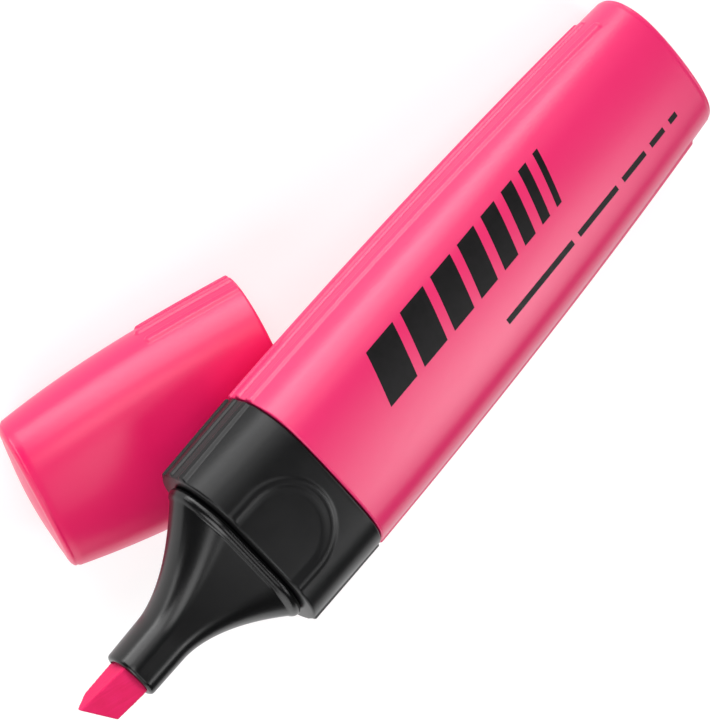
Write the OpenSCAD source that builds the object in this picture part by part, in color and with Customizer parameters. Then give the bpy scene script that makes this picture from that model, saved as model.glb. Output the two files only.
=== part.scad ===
// Flat-bodied highlighter, uncapped. The cap lies on its broad face and the pen leans across it.
// Pen axes: x from the front face of the collar (0) towards the back end, y across, z out of the broad face.
// Cap axes: the same directions, with x = 0 at the open rim and the closed end at negative x.

/* [Body] */
// Width of the pen where the collar meets the barrel
body_w = 26.3; // [26.2:0.1:27.5]
// Thickness of the pen at the same place
body_t = 16.3; // [16:0.1:17.5]
// Length of the black grip collar
collar_len = 12.8; // [12:0.1:15]
// Length of the barrel behind the collar
barrel_len = 73.2; // [70:0.1:80]
// Width of the collar's front face and of the cap's rim
front_w = 26.1; // [25.5:0.1:27]
// Thickness of the collar's front face and of the cap's rim
front_t = 14.6; // [14.2:0.1:15.5]
// Width at the back end
back_w = 21.7; // [21.5:0.1:24]
// Thickness at the back end
back_t = 11.8; // [11.2:0.1:13]
// Wall of the barrel, collar and cap
wall = 1.3; // [1.1:0.1:1.4]
// How far the closed ends are domed
dome = 1; // [0.8:0.1:1.4]

/* [Ribs] */
// Distance between the grip ribs on a narrow side
rib_pitch = 2.6; // [2.4:0.1:2.8]
// Width of one rib
rib_w = 1.3; // [1:0.1:1.6]
// Height of a rib above the narrow side
rib_h = 0.35; // [0.2:0.05:0.5]
// Where the ribs stop short of the back end
rib_margin = 4.5; // [3:0.1:8]
// Length of the outer ribs on the cap
cap_rib_len = 13.8; // [10:0.1:20]
// How much longer the middle rib is at its free end
middle_rib_extra = 1.6; // [0.5:0.1:2]

/* [Thumb rest] */
// Width of the arched ridge round the thumb rest
ridge_w = 1; // [0.8:0.1:1.4]
// Height of that ridge above the collar's face
ridge_h = 0.12; // [0.1:0.01:0.2]
// Outer width of the arch
arch_w = 12.6; // [11:0.1:13]
// Length of the arch from the collar's front face
arch_len = 9.6; // [8:0.1:10.5]
// Depth of the recess inside the arch
thumb_depth = 0.25; // [0.15:0.05:0.4]

/* [Nozzle and nib] */
// Length of the nozzle in front of the collar
nozzle_len = 20.5; // [18:0.1:22]
// Width of the nozzle's mouth
mouth_w = 6.8; // [6.6:0.1:7.6]
// Thickness of the nozzle's mouth
mouth_t = 6.4; // [6.2:0.1:7]
// Inset of the nozzle's shoulder from the collar all round
shoulder_inset = 1.7; // [1.6:0.1:2]
// Length of the concave flare behind the nozzle's straight tube
flare_len = 13; // [11:0.1:15]
// Width of the chisel nib
nib_w = 4.3; // [4:0.1:4.5]
// Thickness of the chisel nib
nib_t = 4; // [3.6:0.1:4.2]
// How far the nib's long corner stands out of the nozzle
nib_out = 7; // [6:0.1:8]
// Length of the long bevel on the nib's upper side
bevel_top = 6.4; // [5:0.1:7]
// Length of the short bevel on the nib's lower side
bevel_under = 2.2; // [1.5:0.1:3]
// Slant of the writing edge, in degrees
nib_slant = 28; // [20:1:35]

/* [Cap] */
// Length of the cap to the edge of its closed end
cap_len = 34.6; // [34:0.1:38]
// Width of the cap's closed end
cap_end_w = 21.3; // [20:0.1:23]
// Thickness of the cap's closed end
cap_end_t = 12.8; // [12.5:0.1:14]
// Depth of the seal's mouth behind the cap's rim
seal_depth = 8.6; // [8:0.1:10]

/* [Ink store] */
// Width of the fibre ink core
core_w = 16.5; // [15:0.5:17]
// Thickness of the fibre ink core
core_t = 8; // [7:0.5:8]
// Thickness of the film round the core
film = 0.25; // [0.2:0.05:0.4]

/* [Hidden] */

// Rest position: the pen's back end is on the table and its collar on the cap's upper face.
lean = [-4.1, 15.62, 14.2];       // roll, slope down to the back, turn against the cap
seam_at = [-5.04, -6.49, 25.5];      // middle of the collar's back face, from the middle of the cap's rim
rest_mid = [11.57, -0.63];        // middle of the whole object, seen from above

pen_len = collar_len + barrel_len;
widest_x = 15;           // where the barrel is widest
land = 4.5;              // half width of the flat strip along each broad face
side_share = 0.46;       // height of a narrow side as a share of the thickness
side_bulge = 0.8;        // how far a narrow side bulges
side_turn = 40;          // direction, in degrees, in which a narrow side leaves the broad face
arc_steps = 7;           // steps on the arched part of a quarter section
side_steps = 4;          // steps on the narrow side of a quarter section
stations = 8;            // steps along a loft
seam_gap = 0.15;         // dark line between collar and barrel
sleeve_len = 7;          // length of the collar's sleeve inside the barrel
sleeve_gap = 0.08;       // clearance round that sleeve
front_wall = 1.6;        // thickness of the collar's front wall
nib_gap = 0.05;          // clearance round the nib
nib_root = 9;            // how far behind the collar's front face the nib ends
nib_edge = 0.5;          // half thickness of the writing edge
core_front = 6.4;        // where the ink core starts
core_back = pen_len - 4.5;
cap_flat_len = 20;       // straight part of the cap's broad faces
plug_a = 8.9;            // half width of the nozzle's plug inside the collar
plug_c = 4.1;            // half thickness of that plug
seal_a = 5.9;            // half width inside the seal
seal_c = 4.2;            // half thickness inside the seal
seal_wall = 0.9;         // wall of the seal

// ---- sections and lofts ----

// A quarter section of half width a and half thickness c, from the middle of the broad face round to
// the narrow side: flat to w, then an arc, then a narrow side of half height e that bulges by d.
function quarter(a, c, w, e, d) =
    let (m = a - d - w, h = c - e, r = (m * m + h * h) / (2 * h), turn = asin(min(1, m / r)))
    let (sy = d / (1 - sin(side_turn)), sz = e / cos(side_turn))
    concat([for (i = [0:arc_steps]) let (t = turn * i / arc_steps) [w + r * sin(t), c - r + r * cos(t)]],
           [for (i = [1:side_steps]) let (t = side_turn + (90 - side_turn) * i / side_steps)
               [a - sy + sy * sin(t), sz * cos(t)]]);

// The whole section as a ring of [y, z] points.
function section(a, c, w = land, share = side_share, d = side_bulge) =
    let (q = quarter(a, c, w, c * share, d), n = len(q))
    concat([for (i = [n - 1:-1:0]) q[i]],
           [for (i = [0:n - 1]) [-q[i][0], q[i][1]]],
           [for (i = [n - 2:-1:0]) [-q[i][0], -q[i][1]]],
           [for (i = [0:n - 2]) [q[i][0], -q[i][1]]]);

// A solid through rings = [[x, section], ...], with x rising.
module loft(rings) {
    n = len(rings[0][1]);
    k = len(rings);
    points = [for (r = rings) for (p = r[1]) [r[0], p[0], p[1]]];
    front = [for (i = [0:n - 1]) i];
    back = [for (i = [n - 1:-1:0]) (k - 1) * n + i];
    sides = [for (j = [0:k - 2]) for (i = [0:n - 1]) let (next = (i + 1) % n)
        [j * n + i, (j + 1) * n + i, (j + 1) * n + next, j * n + next]];
    polyhedron(points, concat([front], sides, [back]), convexity = 6);
}

// A bar along x with the outline that its child draws.
module along_x(x0, x1) {
    translate([x0, 0, 0]) rotate([90, 0, 90]) linear_extrude(x1 - x0) children();
}

// ---- outer form ----

// Blend between a front and a back value along the collar, then along the barrel's crown.
function along_pen(x, front, seam, back) = x < collar_len
    ? front + (seam - front) * x / collar_len
    : seam - (seam - back) * pow(max(0, x - widest_x) / (pen_len - widest_x), 2);
function pen_a(x) = along_pen(x, front_w, body_w, back_w) / 2;
function pen_c(x) = along_pen(x, front_t, body_t, back_t) / 2;

// Half width and half thickness of the cap at a depth d behind its rim.
function cap_a(d) = (front_w - (front_w - cap_end_w) * pow(max(0, d) / cap_len, 2.6)) / 2;
function cap_c(d) =
    (front_t - (front_t - cap_end_t) * pow(max(0, d - cap_flat_len) / (cap_len - cap_flat_len), 2)) / 2;

// Rounded edge and dome of a closed end: [way past the edge as a share of the dome, inset, lost land].
edge_in = 0.7;
edge_rings = [[-edge_in, 0, 0, 0], [-0.2, 0.2, 0.2, 0], [0.05, 0.6, 0.5, 0],
              [dome * 0.55, 2.2, 1.5, 1], [dome, 5, 2.6, 2]];

// The barrel's form between x0 and x1, wider by out on its narrow sides or smaller by inset all round.
module barrel_form(x0, x1, out = 0, inset = 0) {
    loft([for (i = [0:stations]) let (x = x0 + (x1 - x0) * i / stations)
        [x, section(pen_a(x) + out - inset, pen_c(x) - inset)]]);
}

// The cap's form between the depths d0 and d1.
module cap_form(d0, d1, out = 0, inset = 0) {
    loft([for (i = [stations:-1:0]) let (d = d0 + (d1 - d0) * i / stations)
        [-d, section(cap_a(d) + out - inset, cap_c(d) - inset)]]);
}

// Three bars on each narrow side, to be cut to the shape of ribs; the middle one runs on at one end.
module rib_bars(x0, x1, longer_front = 0, longer_back = 0) {
    inner = back_w / 2 - 1.5;
    for (side = [-1, 1], k = [-1, 0, 1]) {
        start = x0 - (k == 0 ? longer_front : 0);
        stop = x1 + (k == 0 ? longer_back : 0);
        translate([start, side > 0 ? inner : -body_w / 2 - 1, k * rib_pitch - rib_w / 2])
            cube([stop - start, body_w / 2 + 1 - inner, rib_w]);
    }
}

// ---- pen ----

module barrel_outer() {
    a = pen_a(pen_len);
    c = pen_c(pen_len);
    loft(concat(
        [for (i = [0:stations - 1])
            let (x = collar_len + (barrel_len - edge_in) * i / stations) [x, section(pen_a(x), pen_c(x))]],
        [for (r = edge_rings) [pen_len + r[0], section(a - r[1], c - r[2], land - r[3])]]));
}

// The space for the ink core, open at the seam.
module barrel_cavity() {
    loft(concat([[collar_len - 1, section(pen_a(collar_len) - wall, pen_c(collar_len) - wall)]],
        [for (i = [0:stations]) let (x = collar_len + (barrel_len - wall) * i / stations)
            [x, section(pen_a(x) - wall, pen_c(x) - wall)]]));
}

module barrel() {
    color([0.93, 0.25, 0.47]) pen_place() difference() {
        union() {
            barrel_outer();
            intersection() {
                barrel_form(collar_len, pen_len - edge_in, rib_h);
                rib_bars(collar_len, pen_len - rib_margin - middle_rib_extra, 0, middle_rib_extra);
            }
        }
        barrel_cavity();
    }
}

// The arch's outline on the broad face, open at the collar's front: the tool's y is the pen's y.
module arch_outline(inset) {
    r = arch_w / 2 - inset;
    straight = arch_len - arch_w / 2;
    translate([-1, -r]) square([straight + 1, 2 * r]);
    translate([straight, 0]) circle(r = r, $fn = 64);
}

// Places children on the upper face of the collar, or on the lower one, z = 0 at its surface.
module on_collar_face(face) {
    slope = atan((body_t - front_t) / 2 / collar_len);
    rotate([180 * face, 0, 0]) translate([0, 0, front_t / 2]) rotate([0, -slope, 0]) children();
}

module grip_collar() {
    color([0.13, 0.13, 0.13]) pen_place() difference() {
        union() {
            loft([for (x = [0, 0.25, collar_len / 2, collar_len - seam_gap])
                let (inset = x == 0 ? 0.2 : 0) [x, section(pen_a(x) - inset, pen_c(x) - inset)]]);
            intersection() {
                barrel_form(0.3, collar_len - seam_gap, rib_h);
                rib_bars(0.3, collar_len - seam_gap);
            }
            barrel_form(collar_len - 1, collar_len + sleeve_len, 0, wall + sleeve_gap);
            for (face = [0, 1]) on_collar_face(face) intersection() {
                translate([0.3, -arch_w, -1]) cube([arch_len + 1, 2 * arch_w, 1 + ridge_h]);
                translate([0, 0, -1]) linear_extrude(2) arch_outline(0);
            }
        }
        barrel_form(front_wall, collar_len + sleeve_len + 1, 0, 2 * wall + sleeve_gap);
        loft([for (x = [-1, front_wall + 1]) [x, section(plug_a + sleeve_gap, plug_c + sleeve_gap, 4)]]);
        for (face = [0, 1]) on_collar_face(face)
            translate([0, 0, -thumb_depth]) linear_extrude(2) arch_outline(ridge_w);
    }
}

// Half width and half thickness of the nozzle at a depth d in front of the collar.
shoulder_a = front_w / 2 - shoulder_inset;
shoulder_c = front_t / 2 - shoulder_inset;
crease = 0.9;            // how far the flare starts inside the shoulder
tube_taper = 0.02;
function flare(d) = pow(max(0, 1 - (d - 1.5) / flare_len), 1.75);
function nozzle_half(d, mouth, shoulder) =
    let (tube = mouth / 2 + tube_taper * (nozzle_len - d)) tube + (shoulder - crease - tube) * flare(d);
function nozzle_ring(d, inset = 0) =
    let (a = nozzle_half(d, mouth_w, shoulder_a) - inset, c = nozzle_half(d, mouth_t, shoulder_c) - inset,
         f = flare(d))
    section(a, c, (a - 1.9) * (1 - f) + land * f, 0.5 * (1 - f) + side_share * f, 0.25 + 0.55 * f);

module nozzle() {
    color([0.03, 0.03, 0.03]) pen_place() difference() {
        union() {
            loft(concat(
                [[-nozzle_len, nozzle_ring(nozzle_len, 0.5)],
                 [-nozzle_len + 0.15, nozzle_ring(nozzle_len, 0.2)],
                 [-nozzle_len + 0.5, nozzle_ring(nozzle_len)]],
                [for (i = [0:11]) let (d = 1.5 + 15 * pow(1 - i / 11, 1.5)) [-d, nozzle_ring(d)]],
                [[-1.4, section(shoulder_a - 0.4, shoulder_c - 0.4)],
                 [-1, section(shoulder_a, shoulder_c)],
                 [-0.4, section(shoulder_a, shoulder_c)],
                 [0, section(shoulder_a - 0.5, shoulder_c - 0.5)]]));
            loft([for (x = [-0.5, core_front - 0.2]) [x, section(plug_a, plug_c, 4)]]);
        }
        translate([-nozzle_len - 1, -nib_w / 2 - nib_gap, -nib_t / 2 - nib_gap])
            cube([nozzle_len + nib_root, nib_w + 2 * nib_gap, nib_t + 2 * nib_gap]);
        loft([for (x = [-4, core_front + 1]) [x, section(plug_a - 1.1, plug_c - 1.1, 3)]]);
    }
}

// The nib is one long fibre bar: a chisel in front and a pointed root in the ink core.
module nib() {
    tip = -nozzle_len - nib_out;
    color([0.93, 0.2, 0.45]) pen_place() difference() {
        translate([tip, nib_w / 2, 0]) rotate([90, 0, 0]) linear_extrude(nib_w) polygon([
            [0, -nib_edge], [bevel_under, -nib_t / 2], [nib_root - tip - 1, -nib_t / 2],
            [nib_root - tip, 0.3 - nib_t / 2], [nib_root - tip, nib_t / 2 - 0.3],
            [nib_root - tip - 1, nib_t / 2], [bevel_top, nib_t / 2], [0, nib_edge]]);
        translate([tip, nib_w / 2, -nib_t]) rotate([0, 0, nib_slant]) translate([-10, -10, 0])
            cube([10, 20, 2 * nib_t]);
    }
}

module stadium(w, t) {
    for (side = [-1, 1]) translate([side * (w - t) / 2, 0]) circle(d = t, $fn = 64);
    square([w - t, t], center = true);
}

module reservoir_core() {
    color([0.95, 0.45, 0.62]) pen_place() difference() {
        along_x(core_front, core_back) stadium(core_w, core_t);
        translate([core_front - 1, -nib_w / 2 - nib_gap, -nib_t / 2 - nib_gap])
            cube([nib_root - core_front + 1 + nib_gap, nib_w + 2 * nib_gap, nib_t + 2 * nib_gap]);
    }
}

module reservoir_wrap() {
    color([0.92, 0.92, 0.92]) pen_place() along_x(core_front + 0.5, core_back - 0.5) difference() {
        stadium(core_w + 2 * film, core_t + 2 * film);
        stadium(core_w, core_t);
    }
}

// ---- cap ----

module cap_outer() {
    a = cap_a(cap_len);
    c = cap_c(cap_len);
    n = len(edge_rings);
    loft(concat(
        [for (i = [n - 1:-1:0]) let (r = edge_rings[i])
            [-cap_len - r[0], section(a - r[1], c - r[2], land - r[3])]],
        [for (i = [stations - 1:-1:0]) let (d = max(0.25, (cap_len - edge_in) * i / stations))
            [-d, section(cap_a(d), cap_c(d))]],
        [[0, section(cap_a(0) - 0.2, cap_c(0) - 0.2)]]));
}

module cap_shell() {
    color([0.93, 0.3, 0.5]) cap_place() difference() {
        union() {
            cap_outer();
            intersection() {
                cap_form(0.3, cap_rib_len + middle_rib_extra + 1, rib_h);
                rib_bars(-cap_rib_len, -0.3, middle_rib_extra);
            }
        }
        cap_form(-1, cap_len - wall, 0, wall);
    }
}

// The seal inside the cap: a soft cup that closes round the nozzle's tube.
module inner_cap() {
    color([0.95, 0.95, 0.95]) cap_place() difference() {
        loft([for (x = [-cap_len + wall, -seal_depth]) [x, section(seal_a + seal_wall, seal_c + seal_wall, 3)]]);
        loft([for (x = [-cap_len + 2 * wall, -seal_depth + 1]) [x, section(seal_a, seal_c, 3)]]);
    }
}

// ---- rest position ----

module pen_place() {
    translate([seam_at[0] - rest_mid[0], seam_at[1] - rest_mid[1], seam_at[2]])
        rotate(lean) translate([-collar_len, 0, 0]) children();
}

module cap_place() {
    translate([-rest_mid[0], -rest_mid[1], front_t / 2]) children();
}

barrel();
grip_collar();
nozzle();
nib();
reservoir_core();
reservoir_wrap();
cap_shell();
inner_cap();
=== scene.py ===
import math
import bpy
import bmesh
import numpy as np
from mathutils import Matrix, Vector


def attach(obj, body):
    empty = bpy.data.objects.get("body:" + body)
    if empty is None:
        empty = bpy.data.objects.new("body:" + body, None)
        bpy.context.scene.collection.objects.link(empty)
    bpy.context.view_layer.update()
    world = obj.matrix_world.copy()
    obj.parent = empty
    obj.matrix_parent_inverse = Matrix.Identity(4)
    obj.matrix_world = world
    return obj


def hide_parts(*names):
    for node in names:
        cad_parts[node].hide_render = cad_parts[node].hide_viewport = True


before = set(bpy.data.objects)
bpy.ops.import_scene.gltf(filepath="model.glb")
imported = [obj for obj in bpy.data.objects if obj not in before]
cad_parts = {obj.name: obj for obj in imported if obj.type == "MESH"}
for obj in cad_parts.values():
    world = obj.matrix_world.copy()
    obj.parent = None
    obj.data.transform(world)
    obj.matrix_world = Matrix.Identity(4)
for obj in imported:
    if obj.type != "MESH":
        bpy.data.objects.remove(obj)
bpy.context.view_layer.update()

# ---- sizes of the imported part, in millimetres; W is a width, T a thickness ----
# The pen's own x runs from the collar's front face (0) to the closed back end (PEN).
# The cap's own x runs from its rim (0) to its closed end (-CAP).
COLLAR = 12.8
PEN = COLLAR + 73.2
FRONT_W, FRONT_T = 26.1, 14.6        # collar's front face and cap's rim
BODY_W, BODY_T = 26.3, 16.3          # where the collar meets the barrel
BACK_W, BACK_T = 21.7, 11.8          # back end
WIDEST = 15.0                        # the barrel narrows from here to its back end
WALL = 1.3
DOME = 0.97                          # rise of a closed end past its edge
END_SET_BACK = 0.13                  # keeps the barrel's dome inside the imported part

# A section has a crowned or flat broad face, a flank and a bulged narrow side.
LAND = 4.5                           # half width of the flat on inner faces and on the shoulder
SHARE = 0.46                         # share of the half thickness that the flank takes
BULGE = 0.8                          # how far the narrow side bulges
TURN = math.radians(40)              # where the narrow side's arc starts
SIDE_REACH = 3.6                     # how far up the narrow side its points are evenly spread

PITCH, RIB_W, RIB_H = 2.6, 1.3, 0.3  # three ribs on each narrow side
RIB_FROM = 8.5                       # ribs stand only on the narrow sides, past this half width
RIB_STOP = PEN - 4.5                 # back end of the barrel's outer ribs
RIB_MIDDLE = -0.25                   # how much longer the middle rib is; below 0 it is shorter
CAP_RIB, CAP_RIB_MIDDLE = 12.5, 0.5  # the same on the cap, from its rim

ARCH_W, ARCH_L = 13.7, 10.5          # thumb rest on the collar, open to its front face
RIDGE_W, RIDGE_H = 1.2, 0.13         # ridge round the thumb rest
THUMB = 0.2                          # depth of its recess
FACE_FROM = 4.5                      # half thickness past which the collar counts as broad face
SLEEVE = 7.0                         # collar's sleeve inside the barrel
FIT = 0.08                           # room round a press fit
PLUG_A, PLUG_C = 8.9, 4.1            # half sizes of the nozzle's plug in the collar

NOZZLE = 20.5                        # from the collar's front face to the nozzle's mouth
MOUTH_W, MOUTH_T = 6.8, 6.4          # tube round the nib
INSET = 1.7                          # shoulder's step in from the collar's edge
CREASE = 0.6                         # flare's step in from the shoulder
FLARE = 13.0                         # length over which the flare narrows
FLARE_FROM = 1.5                     # from the collar's front face to the flare's wide root
TAPER = 0.02                         # tube's widening on each side per millimetre
SHOULDER_A, SHOULDER_C = FRONT_W / 2 - INSET, FRONT_T / 2 - INSET

NIB_W, NIB_T = 4.3, 4.0
NIB_OUT, NIB_ROOT = 7.0, 9.0         # in front of the nozzle's mouth, and behind the collar's face
NIB_TOP, NIB_UNDER = 6.4, 2.2        # lengths of the chisel's upper and lower slopes
NIB_EDGE = 0.5                       # half thickness of the chisel's edge
NIB_SLANT = math.radians(28)
NIB_GRID = 0.14                      # spacing of the felt's mesh

CAP, CAP_END_W, CAP_END_T = 34.6, 21.3, 12.8
CAP_FLAT = 20.0                      # the cap's broad faces are flat for this length from the rim
SEAL = 8.6                           # depth of the seal cup's edge inside the rim
SEAL_A, SEAL_C, SEAL_WALL = 6.8, 5.1, 0.9
SEAL_FLOOR_A, SEAL_FLOOR_C = 4.9, 3.2

SEAM_AT = (-5.04, -6.49, 25.5)       # middle of the collar's seam with the barrel
REST_MID = (11.57, -0.63)            # middle of the resting object's box
LEAN = (-4.1, 15.62, 14.2)           # pen's turn about x, y and z, in degrees

INK_OVER, INK_UNDER = 0.022, -0.03   # print's top and bottom from the barrel's face

# Outlines of rounded edges, as pairs of place along the axis and inset.
BARREL_LIP = ((0.02, 0.3), (0.04, 0.15), (0.1, 0.05), (0.2, 0.0))
COLLAR_FRONT = ((0.0, 0.3), (0.03, 0.16), (0.1, 0.06), (0.2, 0.0))
COLLAR_BACK = ((-0.2, 0.0), (-0.08, 0.05), (-0.02, 0.14), (0.0, 0.28))
CAP_RIM = ((-0.36, 0.0), (-0.24, 0.02), (-0.12, 0.08), (-0.04, 0.17), (0.0, 0.3))
NOZZLE_MOUTH = ((0.0, 0.62), (0.02, 0.42), (0.08, 0.24), (0.2, 0.1), (0.36, 0.02), (0.5, 0.0))
# The nozzle's shoulder: a soft rise out of the crease, then a rounded rim.
SHOULDER = ((-1.52, 0.58), (-1.44, 0.46), (-1.32, 0.3), (-1.16, 0.16), (-0.97, 0.06), (-0.77, 0.01),
            (-0.57, 0.0), (-0.38, 0.03), (-0.2, 0.12), (-0.06, 0.29), (0.0, 0.5))


def turn(rx, ry, rz):
    rx, ry, rz = (math.radians(v) for v in (rx, ry, rz))
    return np.array(Matrix.Rotation(rz, 3, "Z") @ Matrix.Rotation(ry, 3, "Y") @ Matrix.Rotation(rx, 3, "X"))


PEN_TURN = turn(*LEAN)
PEN_AT = np.array([SEAM_AT[0] - REST_MID[0], SEAM_AT[1] - REST_MID[1], SEAM_AT[2]])
CAP_AT = np.array([-REST_MID[0], -REST_MID[1], FRONT_T / 2])


def pen_place(p):
    return (np.asarray(p, float) - [COLLAR, 0, 0]) @ PEN_TURN.T + PEN_AT


def cap_place(p):
    return np.asarray(p, float) + CAP_AT


def step(x, a, b):
    """Smooth step from 0 at a to 1 at b."""
    t = np.clip((np.asarray(x, float) - a) / (b - a), 0, 1)
    return t * t * (3 - 2 * t)


def spaced(x0, x1, gap):
    n = max(2, int(round(abs(x1 - x0) / gap)))
    return np.linspace(x0, x1, n + 1)


# ---- sections ----

def quarter(a, c, share=SHARE, bulge=BULGE, flat=None):
    """Dense quarter section from the middle of a broad face (0, c) to the narrow side (a, 0).
    With no half width for a flat, the broad face is one soft crown."""
    flank = c * share
    edge, rise = a - bulge, c - flank
    sy, sz = bulge / (1 - math.sin(TURN)), flank / math.cos(TURN)
    if flat is None:
        y = np.linspace(0, edge, 160)
        slope = sz / sy * math.tan(TURN)
        b = (slope * edge - 2 * rise) / 4
        z = c - (rise - b) * (y / edge) ** 2 - b * (y / edge) ** 6
    else:
        run = edge - flat
        r = (run * run + rise * rise) / (2 * rise)
        t = np.linspace(0, math.asin(min(1, run / r)), 120)
        y = np.r_[np.linspace(0, flat, 40)[:-1], flat + r * np.sin(t)]
        z = np.r_[np.full(39, c), c - r + r * np.cos(t)]
    t = np.linspace(TURN, math.pi / 2, 80)[1:]
    return np.r_[y, a - sy + sy * np.sin(t)], np.r_[z, sz * np.cos(t)]


def ring(a, c, side=36, face=24, **kw):
    """One section as a closed ring of [y, z], starting at (a, 0): side steps up the narrow side, face
    steps over half a broad face."""
    y, z = quarter(a, c, **kw)
    y, z = y[::-1], z[::-1]
    zs = np.linspace(0, min(SIDE_REACH, 0.8 * c), side + 1)
    ys = np.interp(zs, z, y)
    yf = ys[-1] * (1 - np.linspace(0, 1, face + 1)[1:])
    order = np.argsort(y)
    zf = np.interp(yf, y[order], z[order])
    q = np.c_[np.r_[ys, yf], np.r_[zs, zf]]
    q[-1, 0] = 0
    return np.vstack([q[:-1], (q * [-1, 1])[::-1][:-1], (q * [-1, -1])[:-1], (q * [1, -1])[::-1][:-1]])


def even_ring(a, c, power, **kw):
    """A rounded rectangle with the same number of points, each in the direction of the matching one."""
    y, z = ring(a, c, flat=0.3 * a, share=0.5, bulge=0.1 * a, **kw).T
    t = np.arctan2(z / c, y / a)
    k = (np.abs(np.cos(t)) ** power + np.abs(np.sin(t)) ** power) ** (-1 / power)
    return np.c_[a * k * np.cos(t), c * k * np.sin(t)]


def at(x, r):
    """A ring of [y, z] at a place along the axis."""
    return np.c_[np.full(len(r), x), r]


def ribs(skin, stop, toward, longer):
    """Pushes the narrow sides of the rings out into three rounded ribs that end at stop. The ribs run out
    in the direction toward (1 or -1), and the middle one is longer."""
    for k in (-1, 0, 1):
        end = stop + (longer if k == 0 else 0)
        over = np.maximum(0, (skin[..., 0] - (end - RIB_W / 2)) * toward)
        d = np.hypot(over, skin[..., 2] - k * PITCH) / (RIB_W / 2)
        lift = (1 - step(d, 0.45, 1.12)) * step(np.abs(skin[..., 1]), RIB_FROM, RIB_FROM + 0.7)
        skin[..., 1] += np.sign(skin[..., 1]) * RIB_H * lift
    return skin


# ---- forms ----

def along(x, front, seam, back):
    if x < COLLAR:
        return front + (seam - front) * x / COLLAR
    return seam - (seam - back) * (max(0, x - WIDEST) / (PEN - WIDEST)) ** 2


def pen_a(x):
    return along(x, FRONT_W, BODY_W, BACK_W) / 2


def pen_c(x):
    return along(x, FRONT_T, BODY_T, BACK_T) / 2


def cap_a(d):
    return (FRONT_W - (FRONT_W - CAP_END_W) * (max(0, d) / CAP) ** 2.6) / 2


def cap_c(d):
    return (FRONT_T - (FRONT_T - CAP_END_T) * (max(0, d - CAP_FLAT) / (CAP - CAP_FLAT)) ** 2) / 2


def closed_end(a, c, **kw):
    """Rings of a closed end: rounded edge, then a low dome. The outline's points give the way past the
    edge, the inset of the narrow sides and the inset of the broad faces."""
    way = np.array([-1.4, -0.5, -0.14, 0.02, 0.4, 0.69])
    in_a = np.array([0, 0.07, 0.12, 0.28, 2.1, 5.0])
    in_c = np.array([0, 0, 0, 0.12, 1.4, 2.6])
    s = np.r_[0, np.cumsum(np.hypot(np.diff(way), np.diff(in_a)))]
    t = np.r_[np.linspace(s[1], s[3], 9)[1:], np.linspace(s[3], s[5], 12)[1:]]

    def smooth(v):
        m = np.gradient(v, s)
        i = np.clip(np.searchsorted(s, t) - 1, 0, len(s) - 2)
        h = s[i + 1] - s[i]
        u = (t - s[i]) / h
        return ((2 * u**3 - 3 * u**2 + 1) * v[i] + (u**3 - 2 * u**2 + u) * h * m[i]
                + (-2 * u**3 + 3 * u**2) * v[i + 1] + (u**3 - u**2) * h * m[i + 1])

    out = [(x, ring(a - max(0, i), c - max(0, j), **kw))
           for x, i, j in zip(smooth(way), smooth(in_a), smooth(in_c))]
    x0, last = out[-1]
    for k in (0.86, 0.7, 0.52, 0.34, 0.18, 0.06):
        out.append((x0 + (DOME - x0) * (1 - k * k), last * k))
    return out


def closing(x, r):
    """Rings that close an inner end wall toward its middle."""
    return [at(x, r * k) for k in (0.9, 0.5, 0.1)]


# ---- meshes ----

def loft(name, rings, place, cyclic=False):
    """A closed mesh through rings of points in pen or cap millimetres. Its two ends are capped, unless
    the last ring joins the first."""
    n, k = len(rings[0]), len(rings)
    pts = place(np.vstack(rings)) / 1000
    faces = []
    for j in range(k if cyclic else k - 1):
        a, b = j * n, ((j + 1) % k) * n
        for i in range(n):
            m = (i + 1) % n
            faces.append((a + i, a + m, b + m, b + i))
    verts = [tuple(p) for p in pts]
    if not cyclic:
        for j, flip in ((0, True), (k - 1, False)):
            verts.append(tuple(pts[j * n:(j + 1) * n].mean(0)))
            c = len(verts) - 1
            for i in range(n):
                m = (i + 1) % n
                faces.append((c, j * n + m, j * n + i) if flip else (c, j * n + i, j * n + m))
    me = bpy.data.meshes.new(name)
    me.from_pydata(verts, [], faces)
    return finish_mesh(name, me)


def finish_mesh(name, me):
    bm = bmesh.new()
    bm.from_mesh(me)
    bmesh.ops.recalc_face_normals(bm, faces=bm.faces)
    if bm.calc_volume(signed=True) < 0:
        bmesh.ops.reverse_faces(bm, faces=bm.faces)
    bm.to_mesh(me)
    bm.free()
    me.polygons.foreach_set("use_smooth", [True] * len(me.polygons))
    me.update()
    o = bpy.data.objects.new(name, me)
    bpy.context.scene.collection.objects.link(o)
    return o


# ---- barrel ----

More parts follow.
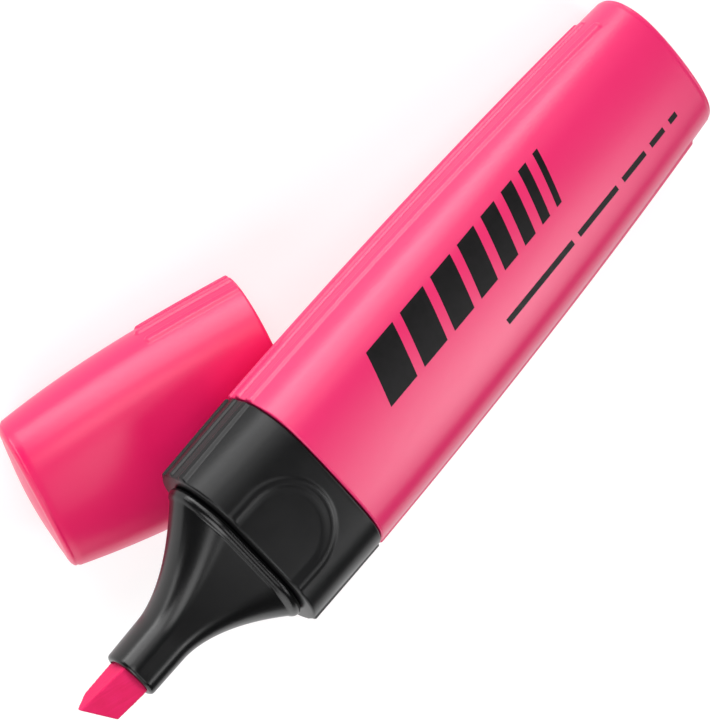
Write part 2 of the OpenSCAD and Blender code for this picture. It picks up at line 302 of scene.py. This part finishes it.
def build_barrel():
    kw = dict(side=40, face=26)
    near, past = RIB_STOP - 3.5, RIB_STOP + 1.9
    xs = np.r_[spaced(COLLAR + 0.35, near, 1.1), spaced(near, past, 0.14)[1:],
               spaced(past, PEN - 0.7, 0.4)[1:]]
    skin = [at(COLLAR + x, ring(pen_a(COLLAR) - i, pen_c(COLLAR) - i, **kw)) for x, i in BARREL_LIP]
    skin += [at(x, ring(pen_a(x), pen_c(x), **kw)) for x in xs]
    skin += [at(PEN - END_SET_BACK + x, r) for x, r in closed_end(pen_a(PEN), pen_c(PEN), **kw)]
    skin = np.stack(skin)
    fade = step(skin[:, 0, 0], COLLAR, COLLAR + 0.25)
    ribbed = ribs(skin.copy(), RIB_STOP, 1, RIB_MIDDLE)
    skin = skin + (ribbed - skin) * fade[:, None, None]

    end = PEN - WALL
    xs = np.r_[spaced(COLLAR + 0.02, COLLAR + 1, 0.5), spaced(COLLAR + 2, end - 1, 4), [end - 0.5, end - 0.2]]
    inner = [at(x, ring(pen_a(x) - WALL, pen_c(x) - WALL, flat=LAND, **kw)) for x in xs]
    last = ring(pen_a(end) - WALL - 0.35, pen_c(end) - WALL - 0.35, flat=LAND, **kw)
    inner += [at(end - 0.02, last)] + closing(end, last)
    return loft("barrel_body", inner[::-1] + list(skin), pen_place)


# ---- grip collar ----

def arch(x, y):
    """Height of the thumb rest's ridge and recess over the collar's face."""
    straight = ARCH_L - ARCH_W / 2
    r = np.where(x > straight, np.hypot(x - straight, y), np.abs(y))
    r0, r1 = ARCH_W / 2 - RIDGE_W, ARCH_W / 2
    ridge = RIDGE_H * step(r, r1 + 0.2, r1 - 0.45) * step(r, r0 - 0.25, r0 + 0.45)
    dish = step(r, r0 + 0.2, r0 - 0.9) * (0.6 + 0.4 * np.cos(np.clip(r / r0, 0, 1) * math.pi / 2))
    return ridge - THUMB * dish


def build_collar():
    kw = dict(side=36, face=64)
    seam = COLLAR - 0.15
    past = ARCH_L + 0.7
    xs = np.r_[[0.3, 0.45], spaced(0.6, past, 0.17), spaced(past, COLLAR - 0.45, 0.4)[1:]]
    skin = [at(x, ring(pen_a(0) - i, pen_c(0) - i, **kw)) for x, i in COLLAR_FRONT]
    skin += [at(x, ring(pen_a(x), pen_c(x), **kw)) for x in xs]
    skin += [at(seam + x, ring(pen_a(seam) - i, pen_c(seam) - i, **kw)) for x, i in COLLAR_BACK]
    skin = np.stack(skin)
    x = skin[:, 0, 0]
    fade = step(x, 0.05, 0.3) * step(x, seam, seam - 0.25)
    ribbed = ribs(skin.copy(), math.inf, 1, 0)
    skin = skin + (ribbed - skin) * fade[:, None, None]
    on_face = np.abs(skin[..., 2]) > FACE_FROM
    lift = arch(skin[..., 0], skin[..., 1]) * step(skin[..., 0], 0.0, 0.25) * on_face
    skin[..., 2] += np.sign(skin[..., 2]) * lift

    def within(x, inset):
        return at(x, ring(pen_a(x) - inset, pen_c(x) - inset, flat=LAND, **kw))

    outside = WALL + FIT
    inside = 2 * WALL + FIT
    end = COLLAR + SLEEVE
    back = 1.6
    hole = ring(PLUG_A + FIT, PLUG_C + FIT, flat=4, **kw)
    rings = [at(0.0, hole), at(0.0, ring(10.4, 5.2, flat=4.2, **kw))] + list(skin)
    rings += [within(x, outside) for x in (seam, seam + 0.3, end - 1, end)]
    rings += [within(x, inside) for x in (end, end - 1, 8, back)]
    rings += [at(back, hole)]
    return loft("grip_collar_body", rings, pen_place, cyclic=True)


# ---- nozzle ----

def flare(d):
    """1 at the flare's wide root, falling to 0 where only the tube is left. d is the way forward."""
    return max(0, 1 - (d - FLARE_FROM) / FLARE) ** 1.75


def nozzle_half(d, mouth, shoulder):
    tube = mouth / 2 + TAPER * (NOZZLE - d)
    return tube + (shoulder - CREASE - tube) * flare(d)


def nozzle_ring(d, inset, **kw):
    """The flare's section. The flat of its broad face is as wide as makes the flank tangent."""
    f = flare(d)
    a, c = nozzle_half(d, MOUTH_W, SHOULDER_A) - inset, nozzle_half(d, MOUTH_T, SHOULDER_C) - inset
    share, bulge = 0.5 * (1 - f) + SHARE * f, 0.27 + 0.53 * f
    meet = math.atan(c * share / math.cos(TURN) * (1 - math.sin(TURN)) / bulge * math.tan(TURN))
    flat = a - bulge - c * (1 - share) / math.tan(meet / 2)
    return ring(a, c, flat=flat, share=share, bulge=bulge, **kw)


def build_nozzle():
    kw = dict(side=26, face=26)

    def plug(x, inset, flat):
        return at(x, ring(PLUG_A - inset, PLUG_C - inset, flat=flat, **kw))

    def bore(x, gap_w, gap_t, power):
        return at(x, even_ring(NIB_W / 2 + gap_w, NIB_T / 2 + gap_t, power, **kw))

    rings = [at(-NOZZLE + x, nozzle_ring(NOZZLE, i, **kw)) for x, i in NOZZLE_MOUTH]
    ds = FLARE_FROM + (NOZZLE - 0.6 - FLARE_FROM) * (1 - np.linspace(0, 1, 56)) ** 1.25
    rings += [at(-d, nozzle_ring(d, 0, **kw)) for d in ds[:-1]]
    rings += [at(x, ring(SHOULDER_A - i, SHOULDER_C - i, flat=LAND, **kw)) for x, i in SHOULDER]
    rings += [plug(0.0, 0, 4), plug(6.2, 0, 4), plug(6.2, 1.1, 3), plug(0, 1.1, 3), plug(-4, 1.1, 3)]
    rings += [bore(x, 0.05, 0.05, 14) for x in (-4, -8, -12, -16, -19.8)]
    rings += [bore(-NOZZLE + 0.25, 0.12, 0.1, 10), bore(-NOZZLE + 0.05, 0.35, 0.3, 8)]
    return loft("nozzle_body", rings, pen_place, cyclic=True)


# ---- nib ----

def chisel():
    """The nib's cut block with bevelled edges."""
    tip = -NOZZLE - NIB_OUT
    bm = bmesh.new()
    bmesh.ops.create_cube(bm, size=1)
    for v in bm.verts:
        v.co = Vector((tip if v.co.x < 0 else NIB_ROOT, math.copysign(NIB_W / 2, v.co.y),
                       math.copysign(NIB_T / 2, v.co.z)))

    def cut(point, normal):
        g = bm.verts[:] + bm.edges[:] + bm.faces[:]
        bmesh.ops.bisect_plane(bm, geom=g, plane_co=point, plane_no=normal, clear_outer=True)
        bmesh.ops.holes_fill(bm, edges=[e for e in bm.edges if len(e.link_faces) == 1])

    cut((tip, 0, NIB_EDGE), (-(NIB_T / 2 - NIB_EDGE), 0, NIB_TOP))
    cut((tip, 0, -NIB_EDGE), (-(NIB_T / 2 - NIB_EDGE), 0, -NIB_UNDER))
    cut((tip, NIB_W / 2, 0), (-math.cos(NIB_SLANT), -math.sin(NIB_SLANT), 0))
    bmesh.ops.bevel(bm, geom=bm.edges[:], offset=0.22, segments=3, profile=0.6, affect="EDGES",
                    clamp_overlap=True)
    bmesh.ops.triangulate(bm, faces=[f for f in bm.faces if len(f.verts) > 4])
    for v in bm.verts:
        v.co = Vector(pen_place([v.co])[0] / 1000)
    me = bpy.data.meshes.new("nib_felt")
    bm.to_mesh(me)
    bm.free()
    return finish_mesh("nib_felt", me)


def build_nib():
    o = chisel()
    remesh = o.modifiers.new("even", "REMESH")
    remesh.mode, remesh.voxel_size = "VOXEL", NIB_GRID / 1000
    dg = bpy.context.evaluated_depsgraph_get()
    fine = bpy.data.meshes.new_from_object(o.evaluated_get(dg))
    o.modifiers.clear()
    o.data = fine
    co = np.empty(len(fine.vertices) * 3)
    no = np.empty(len(fine.vertices) * 3)
    fine.vertices.foreach_get("co", co)
    fine.vertex_normals.foreach_get("vector", no)
    co, no = co.reshape(-1, 3), no.reshape(-1, 3)
    x, y, z = ((co * 1000 - PEN_AT) @ PEN_TURN).T
    fibre = (np.sin(y * 21 + 0.6 * np.sin(x * 2.1)) * np.sin(z * 19 + 1.3)
             + 0.5 * np.sin(y * 9 + x * 3.3) * np.sin(z * 11 - x * 1.7))
    co += no * (fibre * 0.012 - 0.02)[:, None] / 1000
    fine.vertices.foreach_set("co", co.ravel())
    fine.polygons.foreach_set("use_smooth", [True] * len(fine.polygons))
    fine.update()
    return o


# ---- cap ----

def build_cap():
    kw = dict(side=40, face=26)
    near, past = CAP_RIB + 3, CAP_RIB - 1.5
    ds = np.r_[spaced(CAP - 0.7, near, 0.7), spaced(near, past, 0.14)[1:], spaced(past, 0.5, 0.8)[1:]]
    skin = [at(-CAP - x, r) for x, r in closed_end(cap_a(CAP), cap_c(CAP), **kw)][::-1]
    skin += [at(-d, ring(cap_a(d), cap_c(d), **kw)) for d in ds]
    skin += [at(x, ring(cap_a(0) - i, cap_c(0) - i, **kw)) for x, i in CAP_RIM]
    skin = np.stack(skin)
    ribbed = ribs(skin.copy(), -CAP_RIB, -1, -CAP_RIB_MIDDLE)
    fade = step(skin[:, 0, 0], 0.0, -0.3)
    skin = skin + (ribbed - skin) * fade[:, None, None]

    def within(d, inset):
        return at(-d, ring(cap_a(d) - inset, cap_c(d) - inset, flat=LAND, **kw))

    end = CAP - WALL
    inner = [within(0, WALL - 0.25), within(0.06, WALL - 0.1)]
    inner += [within(d, WALL) for d in np.r_[[0.25], spaced(1, end - 1, 2.4), [end - 0.5, end - 0.15]]]
    last = ring(cap_a(end) - WALL - 0.35, cap_c(end) - WALL - 0.35, flat=LAND, **kw)
    inner += [at(-end, last)] + closing(-end, last)
    return loft("cap_body", list(skin) + inner, cap_place)


def build_seal():
    kw = dict(flat=3, side=20, face=20)

    def outside(x, inset):
        return at(x, ring(SEAL_A - inset, SEAL_C - inset, **kw))

    def inside(x, inset):
        return at(x, ring(SEAL_A - SEAL_WALL - inset, SEAL_C - SEAL_WALL - inset, **kw))

    base, floor_at = -CAP + WALL + 0.02, -CAP + 2 * WALL
    rings = [at(base, ring(SEAL_A, SEAL_C, **kw) * k) for k in (0.1, 0.6)]
    rings += [outside(base, 0), outside(base + 3, 0)]
    rings += [outside(-SEAL - x, i)
              for x, i in ((0.9, 0), (0.35, 0.02), (0.15, 0.1), (0.03, 0.22), (0, 0.38))]
    rings += [inside(-SEAL - x, i) for x, i in ((0, -0.35), (0.05, -0.2), (0.2, -0.06), (0.5, 0))]
    rings += [inside(-SEAL - 1.6, 0.12), inside(-SEAL - 2.6, 0)]
    rings += [inside(x, i) for x, i in ((-14, 0), (-20, 0), (-26, 0.1))]
    rings += [inside(floor_at + 0.8, 0.25), inside(floor_at + 0.2, 0.6)]
    rings += [at(floor_at, ring(SEAL_FLOOR_A, SEAL_FLOOR_C, **kw) * k) for k in (1, 0.5, 0.1)]
    return loft("seal_cup", rings, cap_place)


# ---- print: plain slanted bars and a rule, no lettering ----

def face_z(x, y):
    """Height of the barrel's upper face."""
    out = []
    for u, v in zip(np.ravel(x), np.ravel(y)):
        yy, zz = quarter(pen_a(u), pen_c(u))
        order = np.argsort(yy)
        out.append(np.interp(abs(v), yy[order], zz[order]))
    return np.reshape(out, np.shape(x))


def pad(corners, parts, nx, ny):
    """Adds a thin four-cornered pad of ink that follows the barrel's upper face."""
    verts, faces = parts
    c = np.array(corners, float)
    u, v = np.meshgrid(np.linspace(0, 1, nx + 1), np.linspace(0, 1, ny + 1), indexing="ij")
    u, v = u[..., None], v[..., None]
    p = (1 - u) * (1 - v) * c[0] + u * (1 - v) * c[1] + u * v * c[2] + (1 - u) * v * c[3]
    x, y = p[..., 0], p[..., 1]
    z = face_z(x, y)
    base, n = len(verts), (nx + 1) * (ny + 1)
    for level in (INK_OVER, INK_UNDER):
        verts.extend(np.c_[x.ravel(), y.ravel(), (z + level).ravel()])

    def point(i, j, k):
        return base + k * n + i * (ny + 1) + j

    for i in range(nx):
        for j in range(ny):
            faces.append((point(i, j, 0), point(i + 1, j, 0), point(i + 1, j + 1, 0), point(i, j + 1, 0)))
            faces.append((point(i, j, 1), point(i, j + 1, 1), point(i + 1, j + 1, 1), point(i + 1, j, 1)))
    for i in range(nx):
        faces.append((point(i, 0, 0), point(i, 0, 1), point(i + 1, 0, 1), point(i + 1, 0, 0)))
        faces.append((point(i, ny, 0), point(i + 1, ny, 0), point(i + 1, ny, 1), point(i, ny, 1)))
    for j in range(ny):
        faces.append((point(0, j, 0), point(0, j + 1, 0), point(0, j + 1, 1), point(0, j, 1)))
        faces.append((point(nx, j, 0), point(nx, j, 1), point(nx, j + 1, 1), point(nx, j + 1, 0)))


def build_print():
    parts = ([], [])
    x, low, high, lean, gap = 24.0, 0.4, 7.4, 2.4, 1.5
    for width in (5.2, 4.6, 4.0, 3.4, 2.8, 2.2, 1.6, 1.0):
        pad([(x, low), (x + width, low), (x + width + lean, high), (x + lean, high)], parts,
            max(2, int(width / 0.8)), 12)
        x += width + gap
    x, low, high, gap = 43.0, -4.9, -4.1, 1.3
    for length in (14.0, 8.5, 5.0, 3.0, 1.6):
        pad([(x, low), (x + length, low), (x + length, high), (x, high)], parts, max(2, int(length)), 2)
        x += length + gap
    me = bpy.data.meshes.new("side_bars")
    me.from_pydata([tuple(p) for p in pen_place(np.array(parts[0])) / 1000], [], parts[1])
    o = finish_mesh("side_bars", me)
    me.polygons.foreach_set("use_smooth", [False] * len(me.polygons))
    return o


# ---- materials ----

class Mat:
    """A material built round its Principled shader."""

    def __init__(self, name):
        self.material = bpy.data.materials.new(name)
        self.material.use_nodes = True
        self.tree = self.material.node_tree
        self.inputs = self.tree.nodes["Principled BSDF"].inputs

    def node(self, kind, **kw):
        n = self.tree.nodes.new("ShaderNode" + kind)
        for k, v in kw.items():
            if k in n.inputs:
                n.inputs[k].default_value = v
            else:
                setattr(n, k, v)
        return n

    def link(self, a, b):
        self.tree.links.new(a, b)

    def coords(self, scale=(1, 1, 1), turn_to=None):
        tc = self.node("TexCoord")
        mp = self.node("Mapping")
        mp.inputs["Scale"].default_value = scale
        if turn_to is not None:
            mp.inputs["Rotation"].default_value = turn_to
        self.link(tc.outputs["Object"], mp.inputs["Vector"])
        return mp.outputs["Vector"]

    def noise(self, vec, scale, detail=4, rough=0.55):
        n = self.node("TexNoise", Scale=scale, Detail=detail, Roughness=rough)
        self.link(vec, n.inputs["Vector"])
        return n.outputs["Fac"]

    def color(self, fac, stops):
        """Sets the base colour from a ramp of (position, colour) stops."""
        r = self.node("ValToRGB")
        e = r.color_ramp.elements
        while len(e) > 1:
            e.remove(e[-1])
        e[0].position, e[0].color = stops[0][0], (*stops[0][1], 1)
        for p, c in stops[1:]:
            e.new(p).color = (*c, 1)
        self.link(fac, r.inputs["Fac"])
        self.link(r.outputs["Color"], self.inputs["Base Color"])

    def rough(self, fac, low, high, fac_low=0.25, fac_high=0.75):
        """Sets the roughness between low and high."""
        r = self.node("MapRange")
        for k, v in (("From Min", fac_low), ("From Max", fac_high), ("To Min", low), ("To Max", high)):
            r.inputs[k].default_value = v
        self.link(fac, r.inputs["Value"])
        self.link(r.outputs["Result"], self.inputs["Roughness"])

    def bump(self, *layers):
        """Chains bump layers of (height, strength, distance in metres)."""
        last = None
        for height, strength, distance in layers:
            n = self.node("Bump", Strength=strength, Distance=distance)
            self.link(height, n.inputs["Height"])
            if last is not None:
                self.link(last, n.inputs["Normal"])
            last = n.outputs["Normal"]
        self.link(last, self.inputs["Normal"])

    def put(self, **kw):
        for k, v in kw.items():
            self.inputs[k.replace("_", " ")].default_value = v


PEN_ROTATION = Matrix([list(r) for r in PEN_TURN.T]).to_euler()


def shades(base, by):
    """A slightly darker colour, the base colour and a slightly lighter one."""
    return [tuple(v + k * d for v, d in zip(base, by)) for k in (-1, 0, 1)]


def pink(name, base, by, rough, level):
    m = Mat(name)
    v = m.coords()
    low, mid, high = shades(base, by)
    m.color(m.noise(v, 55, 3, 0.5), [(0.25, low), (0.5, mid), (0.75, high)])
    scuff = m.noise(m.coords((220, 2600, 2600), PEN_ROTATION), 1, 5, 0.6)
    m.rough(scuff, rough - 0.015, rough + 0.03, 0.35, 0.72)
    m.bump((m.noise(v, 2600, 3, 0.6), 0.015, 0.00001), (m.noise(v, 120, 2, 0.5), 0.01, 0.00003))
    m.put(IOR=1.49, Specular_IOR_Level=level)
    return m


def black(name, base, rough, spread, grain_scale, grain, level):
    m = Mat(name)
    v = m.coords()
    m.color(m.noise(v, 400, 4, 0.6), [(0.3, base), (0.7, tuple(c * 1.5 for c in base))])
    m.rough(m.noise(v, 180, 5, 0.65), rough - spread, rough + spread)
    m.bump((m.noise(v, grain_scale, 2, 0.5), grain, 0.00003), (m.noise(v, 260, 2, 0.5), 0.01, 0.00005))
    m.put(IOR=1.5, Specular_IOR_Level=level)
    return m


def felt(name, dark, mid, light):
    m = Mat(name)
    strands = m.noise(m.coords((160, 4200, 4200), PEN_ROTATION), 1, 4, 0.6)
    blot = m.noise(m.coords(), 420, 3, 0.5)
    mix = m.node("Mix", data_type="FLOAT", Factor=0.45)
    m.link(strands, mix.inputs["A"])
    m.link(blot, mix.inputs["B"])
    m.color(mix.outputs["Result"], [(0.28, dark), (0.5, mid), (0.72, light)])
    m.rough(strands, 0.62, 0.85)
    m.bump((strands, 0.35, 0.00006), (m.noise(m.coords(), 3000, 4, 0.7), 0.2, 0.00003))
    m.put(Sheen_Weight=0.06, Sheen_Roughness=0.4, Specular_IOR_Level=0.2)
    return m


def soft_white(name, base, rough):
    m = Mat(name)
    v = m.coords()
    m.color(m.noise(v, 150, 4, 0.55), [(0.3, tuple(c * 0.94 for c in base)), (0.7, base)])
    m.rough(m.noise(v, 500, 4, 0.6), rough - 0.06, rough + 0.08)
    m.bump((m.noise(v, 1500, 3, 0.6), 0.12, 0.00003))
    return m


def ink(name):
    m = Mat(name)
    v = m.coords()
    m.color(m.noise(v, 900, 4, 0.6), [(0.3, (0.004, 0.004, 0.004)), (0.7, (0.007, 0.006, 0.007))])
    m.rough(m.noise(v, 1600, 4, 0.6), 0.34, 0.5)
    m.bump((m.noise(v, 3800, 3, 0.6), 0.1, 0.00002))
    m.put(Specular_IOR_Level=0.2)
    return m


def matt_floor(name):
    m = Mat(name)
    m.color(m.noise(m.coords(), 6, 2, 0.5), [(0.3, (0.49, 0.49, 0.49)), (0.7, (0.51, 0.51, 0.51))])
    m.put(Roughness=0.9, Specular_IOR_Level=0.0, Emission_Color=(1, 1, 1, 1), Emission_Strength=0.6)
    return m


PINK = pink("pink_plastic", (0.74, 0.022, 0.136), (0.01, 0.002, 0.005), 0.3, 0.6)
# The cap's pink is a lighter copy of the barrel's pink. This is painted light: it brightens the cap where the
# pen shades it.
CAP_PINK_PAINTED_LIGHTER = pink("pink_cap_plastic_painted_lighter", (0.80, 0.008, 0.114), (0.01, 0.001, 0.005), 0.32, 0.62)
SATIN = black("black_satin_plastic", (0.003, 0.003, 0.0033), 0.32, 0.03, 3400, 0.1, 0.3)
GLOSS = black("black_gloss_plastic", (0.0012, 0.0012, 0.0014), 0.26, 0.01, 2200, 0.004, 0.5)
FELT = felt("pink_felt", (0.64, 0.009, 0.085), (0.70, 0.012, 0.105), (0.76, 0.018, 0.14))
CORE = felt("ink_fibre", (0.72, 0.06, 0.2), (0.86, 0.12, 0.3), (0.93, 0.2, 0.4))
FILM = soft_white("clear_film", (0.86, 0.83, 0.84), 0.3)
SEAL_WHITE = soft_white("seal_plastic", (0.85, 0.85, 0.83), 0.42)
PRINT = ink("black_ink")


def dress(o, mat, body, nodes=()):
    o.data.materials.clear()
    o.data.materials.append(mat.material)
    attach(o, body)
    if nodes:
        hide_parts(*nodes)


dress(build_barrel(), PINK, "pen", ["barrel"])
dress(build_collar(), SATIN, "pen", ["grip_collar"])
dress(build_nozzle(), GLOSS, "pen", ["nozzle"])
dress(build_nib(), FELT, "pen", ["nib"])
dress(build_print(), PRINT, "pen")
dress(build_cap(), CAP_PINK_PAINTED_LIGHTER, "cap", ["cap_shell"])
dress(build_seal(), SEAL_WHITE, "cap", ["inner_cap"])
for node, mat in (("reservoir_core", CORE), ("reservoir_wrap", FILM)):
    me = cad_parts[node].data
    me.materials.clear()
    me.materials.append(mat.material)


# ---- floor ----

def build_floor(half, drop):
    """A square floor, a hair under the object so that the two don't flicker."""
    me = bpy.data.meshes.new("floor")
    corners = [(-half, -half, 0), (half, -half, 0), (half, half, 0), (-half, half, 0)]
    me.from_pydata(corners, [], [(0, 1, 2, 3)])
    me.materials.append(matt_floor("floor_white").material)
    o = bpy.data.objects.new("floor", me)
    bpy.context.scene.collection.objects.link(o)
    o.location.z = -drop
    return o


floor = build_floor(3.0, 0.00002)

# ---- light ----
world = bpy.data.worlds.new("studio")
bpy.context.scene.world = world
world.use_nodes = True
world.node_tree.nodes["Background"].inputs["Color"].default_value = (1, 1, 1, 1)
world.node_tree.nodes["Background"].inputs["Strength"].default_value = 0.04


def softbox(name, direction, distance, size, radiance, long_axis, target=(0, 0, 0.015)):
    """A rectangular soft light seen in that direction from the target, with a given brightness."""
    d = Vector(direction).normalized()
    data = bpy.data.lights.new(name, "AREA")
    data.shape, data.size, data.size_y = "RECTANGLE", size[0], size[1]
    data.energy = radiance * math.pi * size[0] * size[1]
    o = bpy.data.objects.new(name, data)
    bpy.context.scene.collection.objects.link(o)
    x = Vector(long_axis)
    x = (x - d * x.dot(d)).normalized()
    facing = Matrix((x, d.cross(x), d)).transposed().to_4x4()
    o.matrix_world = Matrix.Translation(Vector(target) + d * distance) @ facing
    o.visible_camera = False


PEN_SIDE = (0.855, -0.108, -0.506)
softbox("patch_over", (0.66, -0.32, 0.68), 0.8, (0.27, 0.2), 6.8, PEN_SIDE)
softbox("patch_low", (0.68, -0.52, 0.5), 0.8, (0.3, 0.22), 2.8, PEN_SIDE)
softbox("patch_right", (0.38, -0.6, 0.71), 0.8, (0.12, 0.2), 5.0, (0.8, 0.2, -0.3))
for tilt, radiance in ((8, 6.2), (23, 4.0), (38, 3.4), (53, 1.3)):
    t = math.radians(tilt)
    softbox(f"left_{tilt}", (0.08, math.cos(t), math.sin(t)), 0.7, (0.62, 0.17), radiance, (1, 0, 0))
softbox("back_left", (-0.55, 0.8, 0.12), 0.5, (0.3, 0.12), 3.0, (0.8, 0.55, 0))
softbox("glow_over", (0.5, 0.42, 0.76), 0.8, (0.26, 0.26), 1.4, (0.8, 0, -0.55))
softbox("top_left", (-0.08, 0.31, 0.95), 0.8, (0.36, 0.3), 3.2, (1, 0, 0))
softbox("top_middle", (-0.05, -0.25, 0.97), 0.8, (0.26, 0.29), 2.3, (1, 0, 0))
softbox("fill_front", (-0.8, -0.25, 0.55), 1.0, (0.6, 0.6), 3.6, (0, 1, 0))
softbox("fill_right", (-0.45, -0.85, 0.3), 0.9, (0.6, 0.5), 1.5, (0, 0, 1))

# ---- camera ----
cam = bpy.data.cameras.new("camera")
cam.sensor_width, cam.lens = 36.0, 132.0123
cam.clip_start, cam.clip_end = 0.01, 20
camera = bpy.data.objects.new("camera", cam)
bpy.context.scene.collection.objects.link(camera)
camera.location = (-0.057796, 0.137902, 0.314006)
camera.rotation_euler = [math.radians(v) for v in (-18.2471, -19.5995, -23.9843)]
bpy.context.scene.camera = camera
bpy.context.scene.view_settings.view_transform = "Standard"
bpy.context.scene.view_settings.look = "None"
